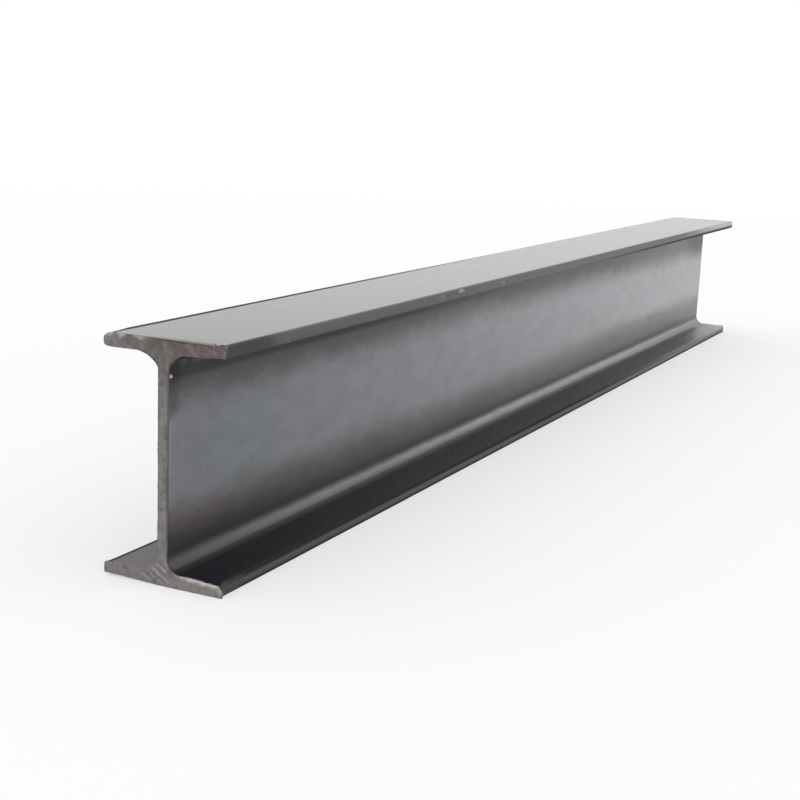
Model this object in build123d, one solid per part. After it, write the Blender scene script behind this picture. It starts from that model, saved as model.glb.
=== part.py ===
from build123d import *
import os

# Hot-rolled steel I-beam with parallel flanges, sawn to a short length.
# It is one rolled piece: a thin web between two flanges of even thickness, a fillet in each
# inner corner where the rolls blend web into flange, and flange toes with rounded edges.
# Units are millimetres. X runs along the beam, Y across the flanges and Z up through the web.
# The origin is under the middle of the beam, on the face that it lies on.

# Rolled section
DEPTH = 100.0
FLANGE_WIDTH = 55.0
FLANGE_THICKNESS = 5.7
WEB_THICKNESS = 4.1
ROOT_RADIUS = 7.0
TOE_RADIUS = 1.5

# Sawn length
LENGTH = 830.0


def rolled_section():
    """Outline of the section about its own centre: first axis across, second axis up."""
    flange_offset = (DEPTH - FLANGE_THICKNESS) / 2
    flange = Rectangle(FLANGE_WIDTH, FLANGE_THICKNESS)
    web = Rectangle(WEB_THICKNESS, DEPTH - FLANGE_THICKNESS)
    outline = web + Pos(0, flange_offset) * flange + Pos(0, -flange_offset) * flange

    # Four inner corners lie on the web's faces, and eight toe corners at the flange tips.
    _, *root_corners, _ = outline.vertices().group_by(Axis.X)
    outline = fillet(ShapeList(v for side in root_corners for v in side), ROOT_RADIUS)
    back_toes, *_, front_toes = outline.vertices().group_by(Axis.X)
    return fillet(back_toes + front_toes, TOE_RADIUS)


def i_beam():
    """The section stood upright across the beam and drawn out from the middle to both ends."""
    across_the_beam = Plane(origin=(0, 0, DEPTH / 2), x_dir=(0, 1, 0), z_dir=(1, 0, 0))
    return extrude(across_the_beam * rolled_section(), amount=LENGTH / 2, both=True)


os.makedirs("parts", exist_ok=True)
export_step(i_beam(), "parts/i_beam.step")
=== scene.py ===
import math
from types import SimpleNamespace

import bmesh
import bpy
from mathutils import Matrix, Vector, noise


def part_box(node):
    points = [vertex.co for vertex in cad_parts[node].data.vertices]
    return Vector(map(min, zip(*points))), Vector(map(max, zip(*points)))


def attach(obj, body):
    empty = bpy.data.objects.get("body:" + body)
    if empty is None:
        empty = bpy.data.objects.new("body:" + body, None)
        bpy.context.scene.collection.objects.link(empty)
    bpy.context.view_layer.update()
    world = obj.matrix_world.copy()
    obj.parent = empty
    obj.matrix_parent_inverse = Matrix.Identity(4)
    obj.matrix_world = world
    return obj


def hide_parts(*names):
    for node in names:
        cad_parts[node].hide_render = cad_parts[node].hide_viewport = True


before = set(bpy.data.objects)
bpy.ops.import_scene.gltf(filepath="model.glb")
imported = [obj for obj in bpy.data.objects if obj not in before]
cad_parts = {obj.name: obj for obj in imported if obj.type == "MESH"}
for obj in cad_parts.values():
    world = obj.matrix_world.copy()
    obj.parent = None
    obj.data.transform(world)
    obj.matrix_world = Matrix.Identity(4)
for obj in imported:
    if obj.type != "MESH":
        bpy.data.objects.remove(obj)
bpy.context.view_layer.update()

# Rolled beam
# One length of mild steel, rolled hot between grooved rolls into a thin web and two parallel flanges.
# The rolls leave a fillet in each inner corner and round the flange toes. The section is drawn at the
# near end, cut into a fine grid so that the saw marks have vertices to move, and drawn out lengthwise.
beam_low, beam_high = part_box("i_beam")
HALF_LENGTH = (beam_high.x - beam_low.x) / 2
HALF_WIDTH = (beam_high.y - beam_low.y) / 2
DEPTH = beam_high.z - beam_low.z
FLANGE_THICKNESS = 0.0057
HALF_WEB = 0.00205
ROOT_RADIUS = 0.007
TOE_RADIUS = 0.0015
FOOT_RADIUS = 0.0007
ROOT_SEGMENTS = 14
TOE_SEGMENTS = 4
GRID_PITCH = 0.0005
MERGE_DISTANCE = 0.00003
CUT_TOLERANCE = 0.000001
STATION_PITCH = 0.0145
LIP_LENGTH = 0.00035
RIM_LENGTH = 0.0045
RIM_STATIONS = (LIP_LENGTH, 0.0009, 0.002, RIM_LENGTH)


def cut_across(mesh, parts, axis, place):
    """Cuts parts of the mesh with a plane square to one axis, and gives them back with the new ones."""
    point, normal = Vector(), Vector()
    point[axis] = place
    normal[axis] = 1.0
    cut = bmesh.ops.bisect_plane(mesh, geom=parts, dist=CUT_TOLERANCE, plane_co=point, plane_no=normal)
    return cut["geom"]


def rolled_section(mesh):
    """One face with the section's outline at the near end, its root corners and toes rounded."""
    inner_low, inner_high = FLANGE_THICKNESS, DEPTH - FLANGE_THICKNESS
    back_half = [(HALF_WIDTH, 0.0), (HALF_WIDTH, inner_low), (HALF_WEB, inner_low)]
    back_half += [(HALF_WEB, inner_high), (HALF_WIDTH, inner_high), (HALF_WIDTH, DEPTH)]
    front_half = [(-y, z) for y, z in reversed(back_half)]
    corners = [mesh.verts.new((-HALF_LENGTH, y, z)) for y, z in back_half + front_half]
    mesh.faces.new(corners)
    round_corners = {"offset_type": "OFFSET", "affect": "VERTICES", "profile": 0.5, "material": -1}
    roots = [v for v in mesh.verts if abs(v.co.y) < HALF_WIDTH / 2]
    bmesh.ops.bevel(mesh, geom=roots, offset=ROOT_RADIUS, segments=ROOT_SEGMENTS, **round_corners)
    toes = [v for v in mesh.verts if abs(v.co.y) > HALF_WIDTH - MERGE_DISTANCE and v.co.z > 0.0]
    bmesh.ops.bevel(mesh, geom=toes, offset=TOE_RADIUS, segments=TOE_SEGMENTS, **round_corners)
    feet = [v for v in mesh.verts if v.co.z == 0.0]
    bmesh.ops.bevel(mesh, geom=feet, offset=FOOT_RADIUS, segments=TOE_SEGMENTS, **round_corners)


def grid_places(mesh, axis):
    """Where to cut the section along one axis: through its corners, and in even steps between them."""
    corners = sorted(vertex.co[axis] for vertex in mesh.verts)
    marks = corners[:1]
    for place in corners:
        if place - marks[-1] > MERGE_DISTANCE:
            marks.append(place)
    places = []
    for start, stop in zip(marks, marks[1:]):
        steps = max(round((stop - start) / GRID_PITCH), 1)
        places += [start + (stop - start) * step / steps for step in range(steps)]
    return places[1:]


def rolled_beam():
    """The section with a fine grid on its cut faces, drawn out to the full length and divided along it."""
    mesh = bmesh.new()
    rolled_section(mesh)
    parts = mesh.verts[:] + mesh.edges[:] + mesh.faces[:]
    for axis, places in [(axis, grid_places(mesh, axis)) for axis in (1, 2)]:
        for place in places:
            parts = cut_across(mesh, parts, axis, place)
    bmesh.ops.remove_doubles(mesh, verts=mesh.verts[:], dist=MERGE_DISTANCE)
    drawn = bmesh.ops.extrude_face_region(mesh, geom=mesh.faces[:])["geom"]
    far_end = [part for part in drawn if isinstance(part, bmesh.types.BMVert)]
    bmesh.ops.translate(mesh, verts=far_end, vec=(2 * HALF_LENGTH, 0.0, 0.0))
    spans = round(2 * HALF_LENGTH / STATION_PITCH)
    stations = [-HALF_LENGTH + 2 * HALF_LENGTH * step / spans for step in range(1, spans)]
    for from_cut in RIM_STATIONS:
        stations += [-HALF_LENGTH + from_cut, HALF_LENGTH - from_cut]
    parts = mesh.verts[:] + mesh.edges[:] + mesh.faces[:]
    for x in stations:
        parts = cut_across(mesh, parts, 0, x)
    bmesh.ops.recalc_face_normals(mesh, faces=mesh.faces[:])
    return mesh


# The rolls press the hot steel unevenly, so its faces wander a little. The face it lies on stays flat.
ROLL_WANDER = 0.00009
ROLL_WAVE = 0.045
UPWARD_APART = Vector((0.0, 0.0, 9.0))


def wander_faces(mesh):
    for vertex in mesh.verts:
        place = vertex.co / ROLL_WAVE
        vertex.co.y += ROLL_WANDER * noise.noise(place)
        if vertex.co.z > DEPTH / 2:
            vertex.co.z += ROLL_WANDER * noise.noise(place + UPWARD_APART)


# Sawn ends
# Both ends were cut with a coarse saw that ran slantwise, so the cut faces are torn and ridged.
# At the near end the blade broke out through the front: it left ragged teeth on the top edge, flared
# the top flange's front toe, broke the edge of the low flange and curled up metal on the web.
CUT_FACE_SLOPE = 0.5
SAW_PITCH = 0.0025
SAW_SLANT = math.radians(28.0)
SAW_RIDGE = 0.00007
RIDGE_WAVER = 2.5
RIDGE_WAVER_SIZE = 0.011
RIDGE_PATCH_SIZE = 0.008
RIDGE_PATCHES = (-0.4, 0.2)
LOW_RIDGE_HEIGHTS = (0.008, 0.016)
FRONT_RIDGE_REACH = (0.004, 0.014)
TEAR_DEPTH = 0.00012
TEAR_SIZE = 0.0045
GRIT_DEPTH = 0.00005
GRIT_SIZE = 0.0012
RELIEF_APART = 3.0


def fade(value, start, end):
    """0 at start and 1 at end, with a smooth climb between them."""
    share = min(max((value - start) / (end - start), 0.0), 1.0)
    return share * share * (3.0 - 2.0 * share)


def fade_out(value, start, end):
    """1 at start and 0 at end, with a smooth fall between them."""
    return 1.0 - fade(value, start, end)


def is_cut(face):
    return abs(face.normal.x) > CUT_FACE_SLOPE


def parts_inside(mesh, low, high):
    """The faces with their middles inside a box, with their edges and vertices."""
    faces = []
    for face in mesh.faces:
        middle = face.calc_center_median()
        if all(low[axis] < middle[axis] < high[axis] for axis in range(3)):
            faces.append(face)
    edges = {edge for face in faces for edge in face.edges}
    corners = {corner for face in faces for corner in face.verts}
    return [*corners, *edges, *faces]


def sawn_relief(y, z, end):
    """How far a point of a cut face stands proud of the plane cut. The saw marks climb towards the back."""
    place = Vector((end * RELIEF_APART, y, z))
    across = y * math.sin(SAW_SLANT) - z * math.cos(SAW_SLANT)
    waver = RIDGE_WAVER * noise.noise(place / RIDGE_WAVER_SIZE)
    ridges = math.sin(math.tau * across / SAW_PITCH + waver)
    ridges *= max(fade_out(z, *LOW_RIDGE_HEIGHTS), fade(-y, *FRONT_RIDGE_REACH))
    ridges *= fade(noise.noise(place / RIDGE_PATCH_SIZE), *RIDGE_PATCHES)
    tear = noise.noise(place / TEAR_SIZE)
    grit = noise.noise(place / GRIT_SIZE)
    return SAW_RIDGE * ridges + TEAR_DEPTH * tear + GRIT_DEPTH * grit


# The saw left a lip round each cut.
LIP_HEIGHT = 0.00006
LIP_RAGGED = 0.00012
LIP_GRAINS = (0.0016, 0.006)
LIP_APART = 5.0


def lip_height(y, z, end):
    """How far the saw's lip stands out from the section's outline."""
    place = Vector((end * LIP_APART, y, z))
    ragged = sum(noise.noise(place / size) for size in LIP_GRAINS)
    return max(LIP_HEIGHT + LIP_RAGGED * ragged, 0.0)


# It pushed out the near cut's outline: the web's front edge, three toes and both upper roots.
SWELL_LENGTH = 0.0012
WEB_SWELL = 0.00065
WEB_SWELL_HEIGHTS = (0.037, 0.043)
TOE_SWELL = 0.0007
TOE_SWELL_REACH = (0.0255, 0.0268)
LOW_TOE_SWELL = 0.0012
LOW_TOE_HEIGHTS = (0.0022, 0.0054)
ROOT_SWELL = 0.0011
ROOT_SWELL_START = (0.0012, 0.0042)
FRONT_SWELL_END = (0.0050, 0.0105)
BACK_SWELL_END = (0.0070, 0.0125)


def swell_outline(y, z):
    """Shift of the near cut's outline: outward on the web and toes, and out of the corner in the roots."""
    if y < 0.0:
        web = WEB_SWELL * fade_out(abs(z - DEPTH / 2), *WEB_SWELL_HEIGHTS)
        toe = LOW_TOE_SWELL * fade(-y, *TOE_SWELL_REACH) * fade_out(z, *LOW_TOE_HEIGHTS)
        swell = Vector((0.0, -max(web, toe), 0.0))
        root_end = FRONT_SWELL_END
    else:
        swell = Vector((0.0, TOE_SWELL * fade(y, *TOE_SWELL_REACH), 0.0))
        root_end = BACK_SWELL_END
    if DEPTH / 2 < z < DEPTH - FLANGE_THICKNESS / 2:
        in_root = fade(abs(y), *ROOT_SWELL_START) * fade_out(abs(y), *root_end)
        swell += ROOT_SWELL * in_root * Vector((0.0, math.copysign(1.0, y), -1.0)).normalized()
    return swell


# The teeth on the near end's top edge are uneven in pitch and height.
TOOTH_PITCH = 0.0044
TOOTH_HEIGHT = 0.0021
TOOTH_CURVE = 1.2
PITCH_SPREAD = 1.3
PITCH_SPREAD_SIZE = 0.006
HEIGHT_MEAN = 0.65
HEIGHT_SPREAD = 0.6
HEIGHT_SPREAD_SIZE = 0.004
TEETH_REACH = (0.0085, 0.0120)
TEETH_HEIGHTS = (DEPTH - 0.0006, DEPTH - 0.0002)
# The highest teeth are painted bare and bright, as painted glints.
TOOTH_SHINE = (0.45, 0.8)
TOOTH_GLINT = 0.6


def tooth_height(y, z):
    """Height of the ragged teeth along the front half of the near end's top edge."""
    place = Vector((0.0, y, z))
    along = fade(z, *TEETH_HEIGHTS) * fade(-y, *TEETH_REACH)
    ramp = (y / TOOTH_PITCH + PITCH_SPREAD * noise.noise(place / PITCH_SPREAD_SIZE)) % 1.0
    height = HEIGHT_MEAN + HEIGHT_SPREAD * noise.noise(place / HEIGHT_SPREAD_SIZE)
    return TOOTH_HEIGHT * along * ramp ** TOOTH_CURVE * height


# The top flange's front toe was flared by the saw, and its back toe has been worn round.
ON_FLANGE = 1.1
FLARE_REACH = (0.0255, 0.0275)
FLARE_OUT = 0.00115
FLARE_LEAN = 0.00085
FLARE_BACK = 0.0004
FLARE_RISE = 0.0003
FLARE_LENGTH = 0.0016
FLARE_SQUARENESS = 3
FLARE_BARE = 0.25
BENT_LIFT = 0.0009
BENT_REACH = (0.012, 0.031)
WORN_TOE_WIDTH = 0.0038
WORN_TOE_LENGTH = 0.012
WORN_UNDERSIDE = 0.35


def flare_toe(place, from_cut):
    """Shift that pushes the top flange's front toe outward beside the near cut. Its edges are squared, most
    at the top, and the flange's underside is bent up towards it."""
    close = math.exp(-from_cut / FLARE_LENGTH)
    half = FLANGE_THICKNESS / 2
    from_middle = (place.z - (DEPTH - half)) / half
    if place.y > 0.0 or abs(from_middle) > ON_FLANGE:
        return Vector()
    share = close * fade(-place.y, *FLARE_REACH)
    rounding = (1.0 - min(abs(from_middle), 1.0)) ** FLARE_SQUARENESS
    squared = math.copysign(1.0 - rounding, from_middle)
    up = half * (squared - from_middle) + FLARE_RISE * max(squared, 0.0)
    out = FLARE_OUT + FLARE_LEAN * from_middle
    bent = close * BENT_LIFT * fade(-place.y, *BENT_REACH) * max(-from_middle, 0.0)
    return Vector((FLARE_BACK * share * share, -out * share, up * share + bent))


def round_worn_toe(place, from_cut):
    """Shift that rounds the top flange's back toe right over, as a square is pressed into a disc."""
    share = fade_out(from_cut, 0.0, WORN_TOE_LENGTH)
    half = FLANGE_THICKNESS / 2
    out = (place.y - (HALF_WIDTH - WORN_TOE_WIDTH)) / WORN_TOE_WIDTH
    up = (place.z - (DEPTH - half)) / half
    if out <= 0.0 or abs(up) > ON_FLANGE:
        return Vector()
    if up < 0.0:
        share *= WORN_UNDERSIDE
    inward = WORN_TOE_WIDTH * out * (math.sqrt(1.0 - up * up / 2) - 1.0)
    closer = half * up * (math.sqrt(1.0 - out * out / 2) - 1.0)
    return share * Vector((0.0, inward, closer))


# Knocks have bent the near end a little: its foot up at the back, a toe and the top edge down.
FOOT_LIFT = 0.0009
FOOT_LIFT_REACH = (-0.004, 0.024)
TOE_DROOP = 0.0008
TOE_DROOP_REACH = (0.006, 0.029)
TOP_DROOP = 0.0011
TOP_DROOP_REACH = (-0.013, 0.014)
TOP_DROOP_END = (0.0210, 0.0275)
TOP_DROOP_LENGTH = 0.0008


def lift_foot(place, from_cut):
    """Height by which the low flange's underside is beaten up, below the back half of the near cut."""
    across = fade(place.y, *FOOT_LIFT_REACH) * max(1.0 - place.z / FLANGE_THICKNESS, 0.0)
    return FOOT_LIFT * across * fade_out(from_cut, 0.0, RIM_LENGTH)


def droop(place, from_cut):
    """Depth by which the low flange's front toe and the top flange's upper edge are bent down."""
    if place.z < DEPTH / 2:
        low_toe = fade(-place.y, *TOE_DROOP_REACH) * fade(place.z, 0.0, FLANGE_THICKNESS)
        return TOE_DROOP * low_toe * fade_out(from_cut, 0.0, RIM_LENGTH)
    top_edge = fade(-place.y, *TOP_DROOP_REACH) * fade_out(-place.y, *TOP_DROOP_END)
    top_edge *= fade(place.z, DEPTH - FLANGE_THICKNESS, DEPTH)
    return TOP_DROOP * top_edge * math.exp(-from_cut / TOP_DROOP_LENGTH)


# The near cut's edge has broken away along the low flange and in spots on the top flange.
BROKEN_DEPTH = 0.0007
BROKEN_WIDTH = 0.0015
BROKEN_TOE_WIDTH = 0.0024
BROKEN_TOE_SHARE = 0.7
BROKEN_RAGGED = 0.0009
BROKEN_RAGGED_SIZE = 0.003
BROKEN_TOP = 1.3 * FLANGE_THICKNESS
LOW_BREAK_REACH = (0.0075, 0.0110)
TOP_BREAK_REACH = (0.0040, 0.0140)
TOP_BREAK_SHARE = 0.55
TOP_SPOT_SIZE = 0.0035
TOP_SPOTS = (-0.55, 0.25)


def broken_edge(y, z):
    """How far the near cut's edge is broken back, from 0 to 1: on top of the low flange's front half and,
    in spots, on top of the top flange's back half."""
    place = Vector((0.0, y, z))
    ragged = BROKEN_RAGGED * noise.noise(place / BROKEN_RAGGED_SIZE)
    if z > DEPTH - FLANGE_THICKNESS:
        on_top = fade(z + 2.0 * ragged, DEPTH - BROKEN_WIDTH, DEPTH)
        spots = fade(noise.noise(place / TOP_SPOT_SIZE), *TOP_SPOTS)
        return TOP_BREAK_SHARE * on_top * spots * fade(y, *TOP_BREAK_REACH)
    if z >= BROKEN_TOP:
        return 0.0
    on_top = fade(z + ragged, FLANGE_THICKNESS - BROKEN_WIDTH, FLANGE_THICKNESS)
    on_toe = fade(-y + 2.0 * ragged, HALF_WIDTH - BROKEN_TOE_WIDTH, HALF_WIDTH)
    on_toe *= fade(z, 0.0, FLANGE_THICKNESS)
    return fade(-y, *LOW_BREAK_REACH) * max(on_top, BROKEN_TOE_SHARE * on_toe)


# One small bright curl of metal stands on the web's front, just behind the near cut.
CURL_FROM_CUT = 0.0021
CURL_HEIGHT = 0.0852
CURL_HALF_LENGTH = 0.0014
CURL_HALF_HEIGHT = 0.0009
CURL_OUT = 0.0008
CURL_SHINE = (0.05, 0.5)
CURL_STATIONS = (0.0007, 0.0014, 0.0018, 0.0024, 0.0030, 0.0036)


def divide_at_curl(mesh):
    """Divides the web's front more finely where the curl stands."""
    low = (-HALF_LENGTH, -2 * HALF_WEB, CURL_HEIGHT - 2 * CURL_HALF_HEIGHT)
    high = (-HALF_LENGTH + RIM_LENGTH, 0.0, CURL_HEIGHT + 2 * CURL_HALF_HEIGHT)
    parts = parts_inside(mesh, low, high)
    for from_near in CURL_STATIONS:
        parts = cut_across(mesh, parts, 0, from_near - HALF_LENGTH)


def curled_metal(place, from_cut):
    """Share of the curl at a point, from 0 to 1 at its middle."""
    along = (from_cut - CURL_FROM_CUT) / CURL_HALF_LENGTH
    up = (place.z - CURL_HEIGHT) / CURL_HALF_HEIGHT
    return max(1.0 - along * along - up * up, 0.0) if place.y < 0.0 else 0.0


# Each cut's edge is dulled. The values on the vertices are bare, which is 1 on bright metal and also holds
# painted glints and highlights, and cut_edge, which is 1 round a cut.
DULL_EDGE = 0.00015


def near_damage(place, from_cut, outward):
    """Shift of a point beside the near cut, and how bare the damage has left it."""
    shift = flare_toe(place, from_cut)
    bareness = FLARE_BARE * fade(-shift.y, FLARE_OUT, FLARE_OUT + FLARE_LEAN)
    shift += round_worn_toe(place, from_cut)
    shift.z += lift_foot(place, from_cut) - droop(place, from_cut)
    if from_cut < MERGE_DISTANCE:
        broken = broken_edge(place.y, place.z)
        shift.x += BROKEN_DEPTH * broken
        # The broken edge is marked bare: bright steel, and a painted highlight along the edge.
        bareness = max(bareness, broken)
    if outward.length > 0.0:
        shift += swell_outline(place.y, place.z) * math.exp(-from_cut / SWELL_LENGTH)
        tooth = tooth_height(place.y, place.z) * math.exp(-from_cut / LIP_LENGTH)
        shift.z += tooth
        curl = curled_metal(place, from_cut)
        shift += outward * CURL_OUT * curl
        # Painted glints: bare bright steel where the teeth stand highest.
        tooth_glint = TOOTH_GLINT * fade(tooth / TOOTH_HEIGHT, *TOOTH_SHINE)
        bareness = max(bareness, tooth_glint, fade(curl, *CURL_SHINE))
    return shift, bareness


def saw_the_ends(mesh):
    """Roughens both cut faces, raises the lip round them and damages the near one."""
    bare_layer = mesh.verts.layers.float["bare"]
    edge_layer = mesh.verts.layers.float["cut_edge"]
    mesh.normal_update()
    moves = []
    for vertex in mesh.verts:
        place = vertex.co
        from_cut = HALF_LENGTH - abs(place.x)
        if from_cut > RIM_LENGTH + MERGE_DISTANCE:
            continue
        end = math.copysign(1.0, place.x)
        outward = sum((f.normal for f in vertex.link_faces if not is_cut(f)), Vector()).normalized()
        lip = lip_height(place.y, place.z, end) * math.exp(-from_cut / LIP_LENGTH)
        move = outward * lip
        if from_cut < MERGE_DISTANCE:
            move.x += end * sawn_relief(place.y, place.z, end)
            if outward.length > 0.0:
                move.x -= end * DULL_EDGE
                vertex[edge_layer] = 1.0
        if end < 0.0:
            shift, vertex[bare_layer] = near_damage(place, from_cut, outward)
            move += shift
        moves.append((vertex, move))
    for vertex, move in moves:
        vertex.co += move
        vertex.co.z = max(vertex.co.z, 0.0)


# Chips
# Handling has knocked small chips out of the top flange's front toe, down to bright metal.
# Each is given by its distance from the near end, its height, half its length and how bare it is.
CHIPS = (
    (0.049, 0.0947, 0.0020, 0.12),
    (0.126, 0.0947, 0.0028, 0.15),
    (0.203, 0.0980, 0.0020, 0.12),
    (0.225, 0.0985, 0.0042, 0.35),
    (0.284, 0.0977, 0.0026, 0.15),
)
CHIP_STEPS = (-1.0, -0.6, -0.2, 0.25, 0.6, 1.0)
CHIP_HALF_HEIGHT = 0.0012
CHIP_DEPTH = 0.0005
CHIP_MEAN = 0.8
CHIP_RAGGED = 0.5
CHIP_RAGGED_SIZE = 0.0016
CHIP_SHINE = (0.0, 0.5)


def chip_toe(mesh):
    """Divides the toe more finely at each chip, presses it in and marks it as bare."""
    bare_layer = mesh.verts.layers.float["bare"]
    for from_near, height, half_long, bareness in CHIPS:
        middle = from_near - HALF_LENGTH
        low = (middle - STATION_PITCH, -HALF_WIDTH - TOE_RADIUS, DEPTH - 1.5 * FLANGE_THICKNESS)
        high = (middle + STATION_PITCH, TOE_RADIUS - HALF_WIDTH, DEPTH + TOE_RADIUS)
        parts = parts_inside(mesh, low, high)
        for step in CHIP_STEPS:
            parts = cut_across(mesh, parts, 0, middle + step * half_long)
        for vertex in {part for part in parts if isinstance(part, bmesh.types.BMVert)}:
            along = (vertex.co.x - middle) / half_long
            up = (vertex.co.z - height) / CHIP_HALF_HEIGHT
            share = max(1.0 - along * along - up * up, 0.0)
            ragged = CHIP_MEAN + CHIP_RAGGED * noise.noise(vertex.co / CHIP_RAGGED_SIZE)
            vertex.co.y += CHIP_DEPTH * share * ragged
            vertex[bare_layer] = max(vertex[bare_layer], bareness * fade(share, *CHIP_SHINE))


beam_mesh = rolled_beam()
beam_mesh.verts.layers.float.new("bare")
beam_mesh.verts.layers.float.new("cut_edge")
divide_at_curl(beam_mesh)
for face in beam_mesh.faces:
    face.smooth = True
    face.material_index = 1 if is_cut(face) else 0
for edge in beam_mesh.edges:
    edge.smooth = len({is_cut(face) for face in edge.link_faces}) == 1
saw_the_ends(beam_mesh)
chip_toe(beam_mesh)
wander_faces(beam_mesh)

# Mill scale
# Hot rolling leaves a skin of oxide all over the beam, and handling rubs it off the edges. The finish at
# a point follows from where it lies along, across and up the beam, and from the grain of the scale.
SIDE_CHANGE = 0.0005
SMEAR_WAVES = (90.0, 150.0, 150.0)
DRIFT_WAVES = (11.0, 8.0, 8.0)
SPECK_WAVES = (600.0, 600.0, 600.0)


def add_node(tree, kind, **settings):
    node = tree.nodes.new(kind)
    for name, value in settings.items():
        setattr(node, name, value)
    return node


def feed(tree, socket, value):
    """Links an output to a socket, or sets the socket's own value."""
    if isinstance(value, bpy.types.NodeSocket):
        tree.links.new(value, socket)
    else:
        socket.default_value = value


def work_out(tree, operation, *values):
    node = add_node(tree, "ShaderNodeMath", operation=operation)
    for socket, value in zip(node.inputs, values):
        feed(tree, socket, value)
    return node.outputs["Value"]


def times(tree, first, second, plus=0.0):
    """The first value times the second, plus a third. The product of two shares is where both hold."""
    return work_out(tree, "MULTIPLY_ADD", first, second, plus)


def rise(tree, value, start, end):
    """0 below start and 1 above end, with a smooth climb between them."""
    node = add_node(tree, "ShaderNodeMapRange", interpolation_type="SMOOTHSTEP")
    feed(tree, node.inputs["Value"], value)
    feed(tree, node.inputs["From Min"], start)
    feed(tree, node.inputs["From Max"], end)
    return node.outputs["Result"]


def fall(tree, value, start, end):
    """1 below start and 0 above end, with a smooth fall between them."""
    return work_out(tree, "SUBTRACT", 1.0, rise(tree, value, start, end))


def blend_values(tree, share, first, second):
    node = add_node(tree, "ShaderNodeMix", data_type="FLOAT")
    feed(tree, node.inputs[0], share)
    feed(tree, node.inputs[2], first)
    feed(tree, node.inputs[3], second)
    return node.outputs[0]


def blend_colours(tree, share, first, second, kind="MIX"):
    node = add_node(tree, "ShaderNodeMix", data_type="RGBA", blend_type=kind)
    feed(tree, node.inputs[0], share)
    feed(tree, node.inputs[6], first)
    feed(tree, node.inputs[7], second)
    return node.outputs[2]


def grain(tree, place, waves, detail, roughness=0.5):
    """Noise with its own number of waves a metre along, across and up the beam."""
    mapping = add_node(tree, "ShaderNodeMapping")
    feed(tree, mapping.inputs["Vector"], place)
    feed(tree, mapping.inputs["Scale"], waves)
    node = add_node(tree, "ShaderNodeTexNoise")
    feed(tree, node.inputs["Vector"], mapping.outputs["Vector"])
    feed(tree, node.inputs["Scale"], 1.0)
    feed(tree, node.inputs["Detail"], detail)
    feed(tree, node.inputs["Roughness"], roughness)
    return node.outputs["Fac"]


def lay_over(tree, share, below, above):
    """Covers one finish with another by a share. A finish is its colour, roughness and gloss."""
    colour = blend_colours(tree, share, below[0], above[0])
    rough = blend_values(tree, share, below[1], above[1])
    gloss = blend_values(tree, share, below[2], above[2])
    return colour, rough, gloss


def beam_places(tree):
    """Where a point lies on the beam, and the grain there that several finishes share."""
    at = SimpleNamespace()
    at.place = add_node(tree, "ShaderNodeTexCoord").outputs["Object"]
    x, at.y, at.z = add_node(tree, "ShaderNodeSeparateXYZ").outputs
    feed(tree, x.node.inputs["Vector"], at.place)
    at.from_middle = work_out(tree, "ABSOLUTE", work_out(tree, "SUBTRACT", at.z, DEPTH / 2))
    at.from_web = work_out(tree, "ABSOLUTE", at.y)
    at.from_near = work_out(tree, "ADD", x, HALF_LENGTH)
    at.from_cut = work_out(tree, "SUBTRACT", HALF_LENGTH, work_out(tree, "ABSOLUTE", x))
    at.on_back = rise(tree, at.y, -SIDE_CHANGE, SIDE_CHANGE)
    at.on_high = rise(tree, at.z, DEPTH / 2 - SIDE_CHANGE, DEPTH / 2 + SIDE_CHANGE)
    at.on_low = work_out(tree, "SUBTRACT", 1.0, at.on_high)
    at.smears = grain(tree, at.place, SMEAR_WAVES, detail=2.0)
    at.drifts = grain(tree, at.place, DRIFT_WAVES, detail=1.0)
    at.specks = grain(tree, at.place, SPECK_WAVES, detail=1.0)
    return at


# Web scale
# The scale is blue and glossy on the middle of the web, brown and duller towards the corners. The upper
# brown band is also painted darker as shade under the top flange, and painted shade turns the upper corner
# near black beside the near end. The foot is paler, painted light grows on it towards the far end, and the
# far end has an olive patch.
BLUE_TINTS = ((0.047, 0.060, 0.075, 1.0), (0.053, 0.058, 0.083, 1.0))
BLUE_ROUGHNESS = 0.24
BLUE_GLOSS = 1.0
BROWN_TINTS = ((0.023, 0.0125, 0.0110, 1.0), (0.014, 0.0145, 0.0115, 1.0))
FOOT_TINTS = ((0.078, 0.063, 0.061, 1.0), (0.064, 0.066, 0.060, 1.0))
HUE_WAVES = (13.0, 40.0, 40.0)
TINT_WAVES = (24.0, 45.0, 45.0)
TINT_CHANGE = (0.40, 0.60)
FOOT_TINT_CHANGE = (0.42, 0.58)
EDGE_SHIFT = -0.0110
DRIFT_SHIFT = 0.004
TINT_SHIFT = 0.005
SMEAR_SHIFT = 0.006
SPECK_SHIFT = 0.008
NEAR_LEAN = (0.050, 0.300)
NEAR_LEAN_SHIFT = 0.003
FAR_LEAN = (0.500, 0.800)
FAR_LEAN_SHIFT = 0.002
# The upper band is brown scale, also painted darker as shade under the top flange.
HIGH_BAND = (0.0150, 0.0347)
HIGH_CHANGE = (0.500, 0.800)
HIGH_LOSS = -0.18
HIGH_ROUGHNESS = 0.30
LOW_BAND = (0.0145, 0.0290)
LOW_ROUGHNESS = 0.34
FOOT_BAND = (0.0220, 0.0390)
# Painted shade: near black in the upper corner of the web beside the near end.
SHADED_ROOT = ((0.006, 0.006, 0.007, 1.0), 0.50, 0.0)
SHADED_HEIGHTS = (0.0320, 0.0350)
SHADED_LENGTH = (0.150, 0.420)
OLIVE_PATCH = ((0.030, 0.028, 0.020, 1.0), 0.42, 0.0)
OLIVE_START = (0.790, 0.860)
OLIVE_HEIGHTS = (0.061, 0.078)
OLIVE_RAGGED = 0.1
OLIVE_SHARE = 0.6
# Painted light on the web's foot: a pale grey that grows towards the far end.
PAINTED_FOOT_LIGHT = ((0.300, 0.297, 0.295, 1.0), 0.50, 0.0)
FOOT_LIGHT_LOW = (0.008, 0.018)
FOOT_LIGHT_HIGH = (0.024, 0.040)
FOOT_LIGHT_GROWTH = 0.95
FOOT_LIGHT_AT_NEAR = -0.03


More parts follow.
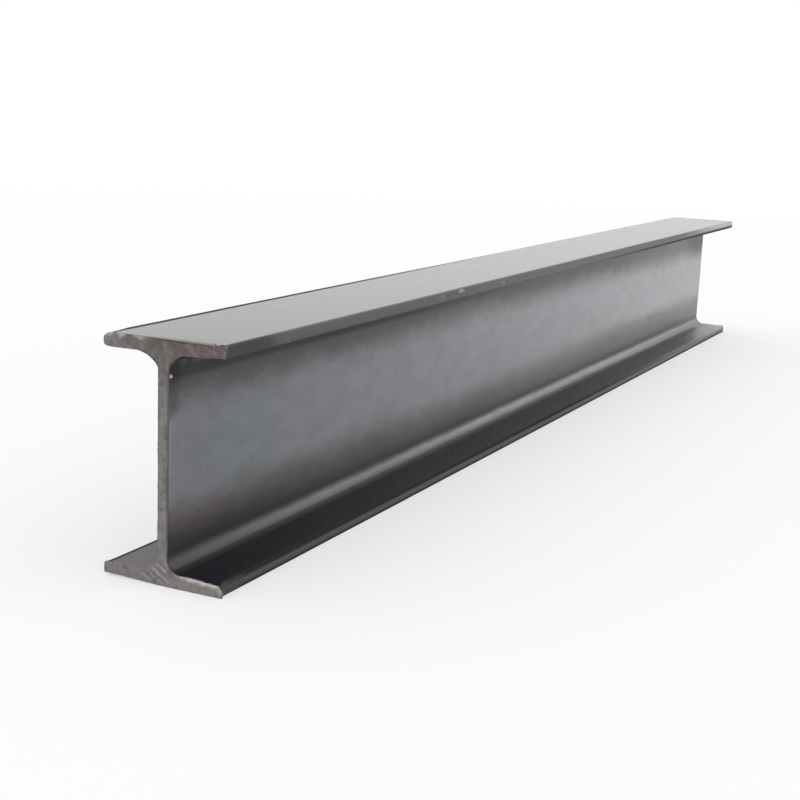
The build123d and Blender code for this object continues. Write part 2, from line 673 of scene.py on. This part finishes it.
def band_height(tree, at, tints):
    """Distance from mid height, shifted so that the bands' edges wander and lean along the beam."""
    height = work_out(tree, "ADD", at.from_middle, EDGE_SHIFT)
    near_low = times(tree, fall(tree, at.from_near, *NEAR_LEAN), at.on_low)
    upward = work_out(tree, "SUBTRACT", at.on_high, at.on_low)
    far_upward = times(tree, rise(tree, at.from_near, *FAR_LEAN), upward)
    shifts = (
        (at.drifts, DRIFT_SHIFT),
        (tints, TINT_SHIFT),
        (at.smears, SMEAR_SHIFT),
        (at.specks, SPECK_SHIFT),
        (near_low, NEAR_LEAN_SHIFT),
        (far_upward, FAR_LEAN_SHIFT),
    )
    for pattern, shift in shifts:
        height = times(tree, pattern, shift, plus=height)
    return height


def web_scale(tree, at):
    hues = grain(tree, at.place, HUE_WAVES, detail=2.0)
    tints = grain(tree, at.place, TINT_WAVES, detail=2.0)
    blue = blend_colours(tree, rise(tree, hues, *TINT_CHANGE), *BLUE_TINTS)
    brown = blend_colours(tree, rise(tree, tints, *TINT_CHANGE), *BROWN_TINTS)
    pale = blend_colours(tree, rise(tree, tints, *FOOT_TINT_CHANGE), *FOOT_TINTS)
    height = band_height(tree, at, tints)
    middle = (blue, BLUE_ROUGHNESS, BLUE_GLOSS)

    # Brown scale on the upper band, also painted darker as shade under the top flange; less of it towards
    # the far end.
    browned_and_shaded = times(tree, rise(tree, at.from_near, *HIGH_CHANGE), HIGH_LOSS, plus=1.0)
    browned_and_shaded = times(tree, browned_and_shaded, rise(tree, height, *HIGH_BAND))
    high = lay_over(tree, browned_and_shaded, middle, (brown, HIGH_ROUGHNESS, 0.0))
    # Painted shade, near black, in the upper corner beside the near end.
    near_shade = fall(tree, at.from_near, *SHADED_LENGTH)
    shaded = times(tree, rise(tree, at.from_middle, *SHADED_HEIGHTS), near_shade)
    high = lay_over(tree, shaded, high, SHADED_ROOT)

    foot = blend_colours(tree, rise(tree, height, *FOOT_BAND), pale, brown)
    low = lay_over(tree, rise(tree, height, *LOW_BAND), middle, (foot, LOW_ROUGHNESS, 0.0))
    finish = lay_over(tree, at.on_high, low, high)

    at_far_end = rise(tree, times(tree, at.drifts, OLIVE_RAGGED, plus=at.from_near), *OLIVE_START)
    olive = times(tree, at_far_end, rise(tree, at.z, *OLIVE_HEIGHTS))
    finish = lay_over(tree, times(tree, olive, OLIVE_SHARE), finish, OLIVE_PATCH)
    # Painted light: pale grey on the web's foot, from nothing at the near end growing towards the far end.
    foot_light = times(tree, rise(tree, at.z, *FOOT_LIGHT_LOW), fall(tree, at.z, *FOOT_LIGHT_HIGH))
    foot_light = times(tree, foot_light, times(tree, at.from_near, FOOT_LIGHT_GROWTH, plus=FOOT_LIGHT_AT_NEAR))
    return lay_over(tree, foot_light, finish, PAINTED_FOOT_LIGHT)


# Root fillets
# The fillets along the low flange are painted lighter grey as a highlight, brightest on their crest and
# dull at the near end. The fillets under the top flange keep dark scale.
DULL_ROOT = ((0.014, 0.014, 0.015, 1.0), 0.30, 0.10)
# Painted highlight on the low fillets: lighter grey that grows from the near end, brightest on the crest.
FAINT_ROOT_HIGHLIGHT = ((0.062, 0.062, 0.064, 1.0), 0.38, 0.75)
ROOT_HIGHLIGHT = ((0.150, 0.150, 0.153, 1.0), 0.38, 0.75)
FAR_ROOT_HIGHLIGHT = ((0.085, 0.085, 0.087, 1.0), 0.36, 0.45)
CREST_HIGHLIGHT = ((0.330, 0.330, 0.335, 1.0), 0.38, 0.75)
HIGH_ROOT = ((0.018, 0.018, 0.021, 1.0), 0.40, 0.05)
ROOT_REACH = (0.0380, 0.0408)
ROOT_RAGGED = 0.0024
ROOT_START = (-0.040, 0.120)
ROOT_HIGHLIGHT_GROWTH = (0.100, 0.450)
ROOT_FAR = (0.500, 0.800)
CREST_START = (0.0396, 0.0407)
CREST_END = (0.0409, 0.0424)
CREST_GROWTH = (-0.050, 0.350)
CREST_SHARE = 0.45


def root_scale(tree, at, finish):
    # The low fillets: dark at the near end, then a painted highlight growing along the beam, brighter on
    # the crest.
    low_root_highlight = DULL_ROOT
    for change, next_root in ((ROOT_START, FAINT_ROOT_HIGHLIGHT), (ROOT_HIGHLIGHT_GROWTH, ROOT_HIGHLIGHT), (ROOT_FAR, FAR_ROOT_HIGHLIGHT)):
        low_root_highlight = lay_over(tree, rise(tree, at.from_near, *change), low_root_highlight, next_root)
    above_start = rise(tree, at.from_middle, *CREST_START)
    crest_highlight = times(tree, above_start, fall(tree, at.from_middle, *CREST_END))
    crest_highlight = times(tree, crest_highlight, rise(tree, at.from_near, *CREST_GROWTH))
    low_root_highlight = lay_over(tree, times(tree, crest_highlight, CREST_SHARE), low_root_highlight, CREST_HIGHLIGHT)
    root = lay_over(tree, at.on_high, low_root_highlight, HIGH_ROOT)
    edge = work_out(tree, "SUBTRACT", at.from_middle, ROOT_RAGGED / 2)
    edge = times(tree, at.smears, ROOT_RAGGED, plus=edge)
    return lay_over(tree, rise(tree, edge, *ROOT_REACH), finish, root)


# Flange faces
# The inner faces keep near black scale, greyer at the back. The low one is painted greyer towards the far
# end and paler still at its end, as painted light. The flat outer faces are rubbed grey and smooth.
NAVY_FRONT = ((0.002, 0.0025, 0.0085, 1.0), 0.23, 0.0)
# Painted light: the low inner face turns greyer and then paler towards the far end.
NAVY_PAINTED_FAR_LIGHT = ((0.045, 0.045, 0.047, 1.0), 0.27, 0.0)
PAINTED_FAR_SHEEN = ((0.400, 0.400, 0.405, 1.0), 0.40, 0.0)
DULL_BACK = ((0.078, 0.073, 0.071, 1.0), 0.36, 0.0)
WORN_FACE = ((0.090, 0.087, 0.083, 1.0), 0.09, 0.0)
NAVY_CHANGE = (0.330, 0.800)
SHEEN_GROWTH = (0.700, 0.830)
SHEEN_REACH = (0.0040, 0.0200)
INNER_REACH = (0.0045, 0.0095)
OUTER_REACH = (0.0488, 0.0497)


def flange_scale(tree, at, finish):
    # Painted light on the low inner face, greyer and then paler towards the far end.
    low_face = lay_over(tree, rise(tree, at.from_near, *NAVY_CHANGE), NAVY_FRONT, NAVY_PAINTED_FAR_LIGHT)
    far_sheen = rise(tree, at.from_near, *SHEEN_GROWTH)
    far_sheen = times(tree, far_sheen, rise(tree, at.from_web, *SHEEN_REACH))
    low_face = lay_over(tree, far_sheen, low_face, PAINTED_FAR_SHEEN)
    front_face = lay_over(tree, at.on_high, low_face, NAVY_FRONT)
    inner_face = lay_over(tree, at.on_back, front_face, DULL_BACK)
    finish = lay_over(tree, rise(tree, at.from_web, *INNER_REACH), finish, inner_face)
    return lay_over(tree, rise(tree, at.from_middle, *OUTER_REACH), finish, WORN_FACE)


# Flange toes
# Handling has rubbed the toes grey, and a bright line runs along the top flange's upper edge towards the
# far end. Painted shade darkens their roundings below, and the back toes.
RUBBED_TOE = ((0.050, 0.047, 0.050, 1.0), 0.42, 0.17)
LOW_TOE = ((0.028, 0.026, 0.028, 1.0), 0.42, 0.06)
FAR_TOE = ((0.054, 0.052, 0.054, 1.0), 0.42, 0.22)
BRIGHT_ARRIS = ((0.480, 0.480, 0.485, 1.0), 0.40, 0.0)
# Painted shade along the back toes' edges.
BACK_EDGE_SHADE = ((0.020, 0.019, 0.018, 1.0), 1.0, 0.0)
# Painted shade for the toes' roundings below and their feet.
TOE_SHADE = ((0.008, 0.008, 0.008, 1.0), 0.90, 0.0)
TOE_REACH = (0.0261, 0.0271)
TOE_HEIGHTS = (0.0453, 0.0466)
TOE_CHANGE = (0.350, 0.750)
LOW_SHADE_LOSS = -0.9
ARRIS_HEIGHTS = (0.0962, 0.0980)
ARRIS_GROWTH = (0.640, 0.800)
FOOT_HEIGHTS = (0.0006, 0.0024)
TOP_BACK_REACH = (0.0226, 0.0245)
TOP_BACK_LENGTH = (0.060, 0.420)
LOW_BACK_REACH = (0.0243, 0.0256)


def toe_scale(tree, at, finish):
    at_tip = rise(tree, at.from_web, *TOE_REACH)
    far_toe = rise(tree, at.from_near, *TOE_CHANGE)
    # Painted shade on the roundings below the toes: the low toes' near part and the top toe's far part.
    low_shade = times(tree, far_toe, LOW_SHADE_LOSS, plus=1.0)
    shade = times(tree, at_tip, blend_values(tree, at.on_high, low_shade, far_toe))
    finish = lay_over(tree, shade, finish, TOE_SHADE)
    on_toe = times(tree, at_tip, rise(tree, at.from_middle, *TOE_HEIGHTS))
    low_toe = lay_over(tree, far_toe, LOW_TOE, FAR_TOE)
    finish = lay_over(tree, on_toe, finish, lay_over(tree, at.on_high, low_toe, RUBBED_TOE))
    # A bright line along the top flange's upper edge, growing towards the far end.
    arris = times(tree, at_tip, rise(tree, at.z, *ARRIS_HEIGHTS))
    arris = times(tree, arris, rise(tree, at.from_near, *ARRIS_GROWTH))
    finish = lay_over(tree, arris, finish, BRIGHT_ARRIS)
    # Painted shade along the foot of the toes.
    foot = times(tree, on_toe, fall(tree, at.z, *FOOT_HEIGHTS))
    finish = lay_over(tree, foot, finish, TOE_SHADE)
    # Painted shade on the back toes: the top one's edge by the near end, and the low one all along.
    top_back_shade = times(tree, rise(tree, at.y, *TOP_BACK_REACH), at.on_high)
    top_back_shade = times(tree, top_back_shade, fall(tree, at.from_near, *TOP_BACK_LENGTH))
    finish = lay_over(tree, top_back_shade, finish, BACK_EDGE_SHADE)
    low_back = times(tree, rise(tree, at.y, *LOW_BACK_REACH), at.on_low)
    return lay_over(tree, low_back, finish, BACK_EDGE_SHADE)


# Stains and painted shade by the near cut
# The front toes are stained beside the cut. The saw scorched the web and its upper root in blots, also
# painted darker as shade beside the cut, and a narrow rim round both cuts is painted shade, though not at
# the back of the foot.
STAINED_TOE = ((0.028, 0.025, 0.023, 1.0), 0.55, 0.0)
STAIN_REACH = (0.036, 0.052)
LOW_STAIN_REACH = (0.012, 0.034)
STAIN_RAGGED = 0.02
# Scorch, and painted shade beside the near cut.
SCORCH_AND_SHADE = ((0.005, 0.0045, 0.0045, 1.0), 0.80, 0.0)
BLOT_WAVES = (150.0, 110.0, 110.0)
SCORCH_HEIGHTS = (0.066, 0.073)
SCORCHED_ROOT = (0.084, 0.093)
LOW_SCORCH_LENGTH = 0.0012
HIGH_SCORCH_LENGTH = 0.0095
ROOT_SCORCH_LENGTH = 0.0060
SCORCH_RAGGED = 2.4
SCORCH_RANGE = (0.20, 1.30)
SCORCH_SHARE = 0.38
ROOT_SCORCH_SHARE = 0.28
SCORCH_REACH = (0.010, 0.016)
SCORCH_TOP = (0.0440, 0.0450)
RIM_REACH = (0.0002, 0.0014)
RIM_SHARE = 0.7
RIM_LOSS = -0.85


def stained_toes(tree, at, finish):
    ragged = times(tree, at.smears, STAIN_RAGGED, plus=at.from_near)
    low_stain = times(tree, fall(tree, ragged, *LOW_STAIN_REACH), at.on_low)
    stain = times(tree, fall(tree, ragged, *STAIN_REACH), at.on_high, plus=low_stain)
    on_front_toe = fall(tree, at.y, -TOE_REACH[1], -TOE_REACH[0])
    return lay_over(tree, times(tree, stain, on_front_toe), finish, STAINED_TOE)


def scorched_and_shaded_web(tree, at, finish):
    blots = grain(tree, at.place, BLOT_WAVES, detail=3.0)
    in_root = rise(tree, at.z, *SCORCHED_ROOT)
    length = times(tree, rise(tree, at.z, *SCORCH_HEIGHTS), HIGH_SCORCH_LENGTH, plus=LOW_SCORCH_LENGTH)
    length = times(tree, in_root, ROOT_SCORCH_LENGTH, plus=length)
    along = work_out(tree, "DIVIDE", at.from_near, length)
    along = times(tree, blots, SCORCH_RAGGED, plus=work_out(tree, "SUBTRACT", along, SCORCH_RAGGED / 2))
    on_web = fall(tree, at.from_web, *SCORCH_REACH)
    on_web = times(tree, on_web, fall(tree, at.from_middle, *SCORCH_TOP))
    # Scorched blots beside the near cut, darkened further as painted shade.
    scorch_and_shade = times(tree, fall(tree, along, *SCORCH_RANGE), on_web)
    scorch_and_shade = times(tree, scorch_and_shade, times(tree, in_root, ROOT_SCORCH_SHARE, plus=SCORCH_SHARE))
    return lay_over(tree, scorch_and_shade, finish, SCORCH_AND_SHADE)


def shaded_rim(tree, at, finish):
    # Painted shade: a dark rim along each cut's edge, weaker at the back of the foot.
    rim_shade = times(tree, fall(tree, at.from_cut, *RIM_REACH), RIM_SHARE)
    back_foot = times(tree, at.on_back, at.on_low)
    rim_shade = times(tree, rim_shade, times(tree, back_foot, RIM_LOSS, plus=1.0))
    return lay_over(tree, rim_shade, finish, SCORCH_AND_SHADE)


# Surface of the scale
# All the scale is mottled, thin and speckled. The back is scuffed and streaked lengthwise, and a clear
# film of oxide gives the blue its gloss. Chips and the saw's burrs are bare steel, which on the teeth and
# the broken edge is also painted glint and highlight.
MOTTLE_WAVES = (60.0, 140.0, 140.0)
STREAK_WAVES = (9.0, 160.0, 160.0)
SCUFF_WAVES = (240.0, 320.0, 320.0)
SCALE_DEPTH = 0.660
MOTTLE_DEPTH = 0.45
SPECK_DEPTH = 0.08
STREAK_DEPTH = 0.30
SCUFF_DEPTH = 0.9
SCUFF_START = -0.6
BARE_STEEL = ((0.58, 0.57, 0.55, 1.0), 0.40, 0.0)
MOTTLE_ROUGHNESS = 0.08
SCUFF_ROUGHNESS = 0.30
FILM_MEAN = 0.7
FILM_MOTTLE = 0.6
FILM_ROUGHNESS = 0.22
DENT_WAVES = (120.0, 300.0, 300.0)
DENT_STRENGTH = 0.03
DENT_DEPTH = 0.0003


def mill_scale():
    material = bpy.data.materials.new("mill_scale")
    material.use_nodes = True
    tree = material.node_tree
    shader = tree.nodes["Principled BSDF"]
    at = beam_places(tree)
    finish = web_scale(tree, at)
    for cover in (root_scale, flange_scale, toe_scale, stained_toes, scorched_and_shaded_web, shaded_rim):
        finish = cover(tree, at, finish)
    colour, rough, gloss = finish

    mottle = grain(tree, at.place, MOTTLE_WAVES, detail=2.0)
    streaks = grain(tree, at.place, STREAK_WAVES, detail=2.0)
    scuffs = grain(tree, at.place, SCUFF_WAVES, detail=2.0)
    depth = times(tree, mottle, MOTTLE_DEPTH, plus=SCALE_DEPTH)
    depth = times(tree, at.specks, SPECK_DEPTH, plus=depth)
    worn_back = times(tree, scuffs, SCUFF_DEPTH, plus=SCUFF_START)
    worn_back = times(tree, streaks, STREAK_DEPTH, plus=worn_back)
    depth = times(tree, at.on_back, worn_back, plus=depth)
    colour = blend_colours(tree, 1.0, colour, depth, "MULTIPLY")
    bare = add_node(tree, "ShaderNodeAttribute", attribute_name="bare").outputs["Fac"]
    colour, rough, gloss = lay_over(tree, bare, (colour, rough, gloss), BARE_STEEL)
    feed(tree, shader.inputs["Base Color"], colour)
    rough = times(tree, mottle, MOTTLE_ROUGHNESS, plus=rough)
    scuffed = times(tree, scuffs, SCUFF_ROUGHNESS, plus=-SCUFF_ROUGHNESS / 2)
    feed(tree, shader.inputs["Roughness"], times(tree, at.on_back, scuffed, plus=rough))
    film = times(tree, mottle, FILM_MOTTLE, plus=FILM_MEAN)
    feed(tree, shader.inputs["Coat Weight"], times(tree, gloss, film))
    feed(tree, shader.inputs["Coat Roughness"], FILM_ROUGHNESS)
    dents = add_node(tree, "ShaderNodeBump")
    feed(tree, dents.inputs["Strength"], DENT_STRENGTH)
    feed(tree, dents.inputs["Distance"], DENT_DEPTH)
    feed(tree, dents.inputs["Height"], grain(tree, at.place, DENT_WAVES, detail=1.0))
    feed(tree, shader.inputs["Normal"], dents.outputs["Normal"])
    return material


# Cut faces
# Bare steel that the saw tore has since turned brown-grey, browner on the top flange. The saw marks show
# best in the middle of the low flange and on the top flange's front half; their ridges are painted lighter,
# as fresh metal and painted highlight, and their troughs darker as painted shade. A dark rim round the cut
# face is the scale's skin, darkened further as painted shade, weaker at the back of the foot.
SAWN_BROWN = (0.103, 0.083, 0.076, 1.0)
SAWN_GREY = (0.187, 0.174, 0.168, 1.0)
SAWN_PALE = (0.255, 0.222, 0.210, 1.0)
SAWN_DARK = (0.060, 0.050, 0.047, 1.0)
SAWN_PINK = (0.250, 0.205, 0.200, 1.0)
# Lighter steel on the saw marks' ridges, also a painted highlight.
SAWN_BRIGHT_AND_HIGHLIGHT = (0.36, 0.33, 0.32, 1.0)
SAWN_BARE = (0.66, 0.63, 0.61, 1.0)
PATCH_WAVES = (90.0, 90.0, 90.0)
BROWN_CHANGE = (0.095, 0.128)
BROWN_SLANT = -0.8
BROWN_RAGGED = 0.05
PALE_HEIGHTS = (0.007, 0.018)
PALE_SIDE = (-0.018, 0.020)
PALE_SHARE = 0.55
BLOOM_WAVES = (260.0, 260.0, 260.0)
PINK_BLOOMS = (0.50, 0.68)
PINK_SHARE = 0.45
DARK_BLOOMS = (0.32, 0.50)
DARK_SHARE = 0.40
MARK_WAVER = 10.0
MARK_MIDDLE = 0.003
MARK_HALF_WIDTH = (0.0045, 0.0090)
MARK_START = (0.0005, 0.0025)
MARK_END = (0.008, 0.012)
HIGH_MARK_HEIGHTS = (0.090, 0.095)
HIGH_MARK_SIDE = (-0.016, -0.008)
HIGH_MARK_SHARE = 0.1
MARK_BLOOMS = (0.30, 0.58)
RIDGE_SHARE = 0.60
TROUGH_SHARE = 0.35
PIT_WAVES = (420.0, 420.0, 420.0)
PITS = (0.52, 0.72)
PIT_SHARE = 0.55
EDGE_CHANGE = (0.0, 0.8)
EDGE_SHARE = 0.7
CLEAN_SIDE = (0.002, 0.005)
CLEAN_START = (0.002, 0.004)
CLEAN_END = (0.010, 0.020)
CLEAN_LOSS = -0.85
SAWN_ROUGHNESS = 0.45
PIT_ROUGHNESS = 0.3


def saw_marks(tree, y, z, patches, blooms):
    """Shares of the saw marks' ridges, painted lighter as fresh metal and highlight, and troughs, painted
    darker as shade.
    """
    across = work_out(tree, "SUBTRACT", times(tree, y, math.tan(SAW_SLANT)), z)
    phase = times(tree, across, math.tau * math.cos(SAW_SLANT) / SAW_PITCH)
    wave = work_out(tree, "SINE", times(tree, patches, MARK_WAVER, plus=phase))
    off_middle = work_out(tree, "ABSOLUTE", work_out(tree, "SUBTRACT", y, MARK_MIDDLE))
    low_middle = times(tree, fall(tree, z, *MARK_END), fall(tree, off_middle, *MARK_HALF_WIDTH))
    low_middle = times(tree, low_middle, rise(tree, z, *MARK_START))
    high_front = times(tree, rise(tree, z, *HIGH_MARK_HEIGHTS), fall(tree, y, *HIGH_MARK_SIDE))
    where = times(tree, high_front, HIGH_MARK_SHARE, plus=low_middle)
    where = times(tree, where, rise(tree, blooms, *MARK_BLOOMS))
    return times(tree, rise(tree, wave, 0.0, 1.0), where), times(tree, fall(tree, wave, -1.0, 0.0), where)


def sawn_steel():
    material = bpy.data.materials.new("sawn_steel")
    material.use_nodes = True
    tree = material.node_tree
    shader = tree.nodes["Principled BSDF"]
    place = add_node(tree, "ShaderNodeTexCoord").outputs["Object"]
    x, y, z = add_node(tree, "ShaderNodeSeparateXYZ").outputs
    feed(tree, x.node.inputs["Vector"], place)
    bare = add_node(tree, "ShaderNodeAttribute", attribute_name="bare").outputs["Fac"]
    cut_edge = add_node(tree, "ShaderNodeAttribute", attribute_name="cut_edge").outputs["Fac"]
    patches = grain(tree, place, PATCH_WAVES, detail=4.0, roughness=0.6)
    blooms = grain(tree, place, BLOOM_WAVES, detail=2.0)
    pits = grain(tree, place, PIT_WAVES, detail=4.0, roughness=0.65)

    browner = times(tree, patches, BROWN_RAGGED, plus=times(tree, y, BROWN_SLANT, plus=z))
    low_front = times(tree, fall(tree, z, *PALE_HEIGHTS), fall(tree, y, *PALE_SIDE))
    ridges, troughs = saw_marks(tree, y, z, patches, blooms)
    low_back = times(tree, rise(tree, y, *CLEAN_SIDE), fall(tree, z, *CLEAN_END))
    low_back = times(tree, low_back, rise(tree, z, *CLEAN_START))
    # A dark rim round the cut face: the scale's skin, darkened further as painted shade, weaker at the back
    # of the foot.
    scale_and_shade_edge = rise(tree, cut_edge, *EDGE_CHANGE)
    scale_and_shade_edge = times(tree, scale_and_shade_edge, times(tree, low_back, CLEAN_LOSS, plus=1.0))
    layers = (
        (rise(tree, browner, *BROWN_CHANGE), 1.0, SAWN_BROWN),
        (low_front, PALE_SHARE, SAWN_PALE),
        (rise(tree, blooms, *PINK_BLOOMS), PINK_SHARE, SAWN_PINK),
        (fall(tree, blooms, *DARK_BLOOMS), DARK_SHARE, SAWN_DARK),
        # Ridges painted lighter as fresh metal and painted highlight; troughs painted darker as shade.
        (ridges, RIDGE_SHARE, SAWN_BRIGHT_AND_HIGHLIGHT),
        (troughs, TROUGH_SHARE, SAWN_DARK),
        (rise(tree, pits, *PITS), PIT_SHARE, SAWN_DARK),
        (scale_and_shade_edge, EDGE_SHARE, SAWN_DARK),
        (bare, 1.0, SAWN_BARE),
    )
    colour = SAWN_GREY
    for where, share, tint in layers:
        colour = blend_colours(tree, times(tree, where, share), colour, tint)
    feed(tree, shader.inputs["Base Color"], colour)
    feed(tree, shader.inputs["Roughness"], times(tree, pits, PIT_ROUGHNESS, plus=SAWN_ROUGHNESS))
    return material


beam_data = bpy.data.meshes.new("i_beam_rolled")
beam_data.materials.append(mill_scale())
beam_data.materials.append(sawn_steel())
beam_mesh.to_mesh(beam_data)
beam_mesh.free()
beam = bpy.data.objects.new("i_beam_rolled", beam_data)
bpy.context.scene.collection.objects.link(beam)
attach(beam, "root")
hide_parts("i_beam")

# Floor and light
# A plain pale floor that fades into an even white studio sky. The camera and mirror-like steel see it
# lifted halfway to white, and it keeps the beam's soft shadow.
FLOOR_HALF_SIZE = 6.0
FLOOR_WHITE = (0.960, 0.968, 0.985, 1.0)
FLOOR_FADE = (0.9, 2.4)
FLOOR_GLOW = 0.50
SKY_WHITE = (1.0, 1.0, 1.0, 1.0)
floor_mesh = bmesh.new()
bmesh.ops.create_grid(floor_mesh, x_segments=1, y_segments=1, size=FLOOR_HALF_SIZE)
floor_data = bpy.data.meshes.new("studio_floor")
floor_mesh.to_mesh(floor_data)
floor_mesh.free()


def floor_paint():
    material = bpy.data.materials.new("floor_paint")
    material.use_nodes = True
    tree = material.node_tree
    paint = tree.nodes["Principled BSDF"]
    feed(tree, paint.inputs["Base Color"], FLOOR_WHITE)
    feed(tree, paint.inputs["Roughness"], 1.0)
    feed(tree, paint.inputs["Specular IOR Level"], 0.0)
    rays = add_node(tree, "ShaderNodeLightPath").outputs
    mirrored = work_out(tree, "MAXIMUM", rays["Is Glossy Ray"], rays["Is Transmission Ray"])
    seen = work_out(tree, "MAXIMUM", rays["Is Camera Ray"], mirrored)
    lifted = add_node(tree, "ShaderNodeMixShader")
    feed(tree, lifted.inputs["Fac"], times(tree, seen, FLOOR_GLOW))
    feed(tree, lifted.inputs[1], paint.outputs["BSDF"])
    feed(tree, lifted.inputs[2], add_node(tree, "ShaderNodeEmission").outputs["Emission"])
    place = add_node(tree, "ShaderNodeTexCoord").outputs["Object"]
    distance = add_node(tree, "ShaderNodeVectorMath", operation="LENGTH")
    feed(tree, distance.inputs[0], place)
    mix = add_node(tree, "ShaderNodeMixShader")
    feed(tree, mix.inputs["Fac"], rise(tree, distance.outputs["Value"], *FLOOR_FADE))
    feed(tree, mix.inputs[1], lifted.outputs["Shader"])
    feed(tree, mix.inputs[2], add_node(tree, "ShaderNodeBsdfTransparent").outputs["BSDF"])
    feed(tree, tree.nodes["Material Output"].inputs["Surface"], mix.outputs["Shader"])
    return material


floor_data.materials.append(floor_paint())
floor = bpy.data.objects.new("studio_floor", floor_data)
bpy.context.scene.collection.objects.link(floor)

sky = bpy.data.worlds.new("studio_sky")
sky.use_nodes = True
background = sky.node_tree.nodes["Background"]
feed(sky.node_tree, background.inputs["Color"], SKY_WHITE)
feed(sky.node_tree, background.inputs["Strength"], 1.0)
bpy.context.scene.world = sky
bpy.context.scene.view_settings.view_transform = "Standard"

# Camera
# It stands in front of the near end, a little above the beam, and looks along its front side.
CAMERA_PLACE = (-0.8588, -0.3140, 0.1927)
HEADING = math.radians(25.534)
DIP = math.radians(11.897)
ROLL = math.radians(2.366)
SENSOR_WIDTH = 36.0
LENS = 63.646
camera_data = bpy.data.cameras.new("camera")
camera_data.sensor_width = SENSOR_WIDTH
camera_data.lens = LENS
camera = bpy.data.objects.new("camera", camera_data)
turn = Matrix.Rotation(HEADING - math.pi / 2, 4, "Z") @ Matrix.Rotation(math.pi / 2 - DIP, 4, "X")
camera.matrix_world = Matrix.Translation(CAMERA_PLACE) @ turn @ Matrix.Rotation(ROLL, 4, "Z")
bpy.context.scene.collection.objects.link(camera)
bpy.context.scene.camera = camera
